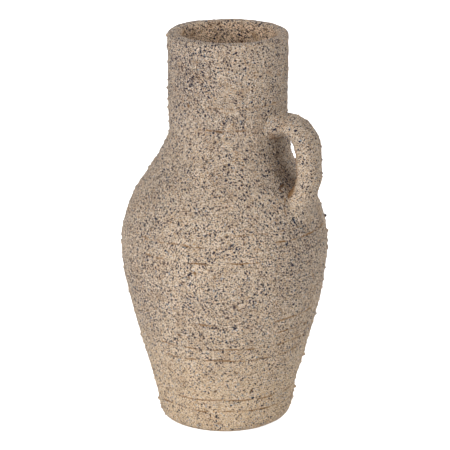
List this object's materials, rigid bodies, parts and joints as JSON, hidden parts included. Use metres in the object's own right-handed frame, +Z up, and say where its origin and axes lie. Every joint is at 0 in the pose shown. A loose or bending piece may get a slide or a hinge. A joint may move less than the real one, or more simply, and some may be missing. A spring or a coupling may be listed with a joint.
{
  "type": "one-handled jug vase",
  "caption": "Tall hand-built stoneware jug vase: egg-shaped body on a flat foot, straight wide neck and a thick ear handle from neck to shoulder, in dry speckled clay.",
  "frame": {"origin": "centre of the flat underside of the floor slab", "axes": "+Z up along the vessel's axis, towards the mouth; +X towards the handle"},
  "size_m": [0.2103, 0.2072, 0.4],
  "materials": {
    "foot_clay": "dry unglazed, warm tan, sandy with dark specks",
    "body_clay": "dry unglazed, buff, sandy with dark specks",
    "shoulder_clay": "dry unglazed, grey buff, sandy with dense dark specks",
    "neck_clay": "dry unglazed, grey buff, sandy with dense dark specks",
    "handle_clay": "dry unglazed, buff, smoother, with dark specks"
  },
  "bodies": {
    "root": {"floor_slab": "foot_clay", "foot_course": "foot_clay", "heel_course": "foot_clay", "lower_wall": "body_clay", "waist_course": "body_clay", "lower_belly": "body_clay", "belly_band": "body_clay", "upper_belly": "body_clay", "shoulder": "shoulder_clay", "neck_root": "neck_clay", "neck": "neck_clay", "handle_top_pad": "handle_clay", "handle": "handle_clay", "handle_foot_pad": "handle_clay"}
  },
  "joints": []
}
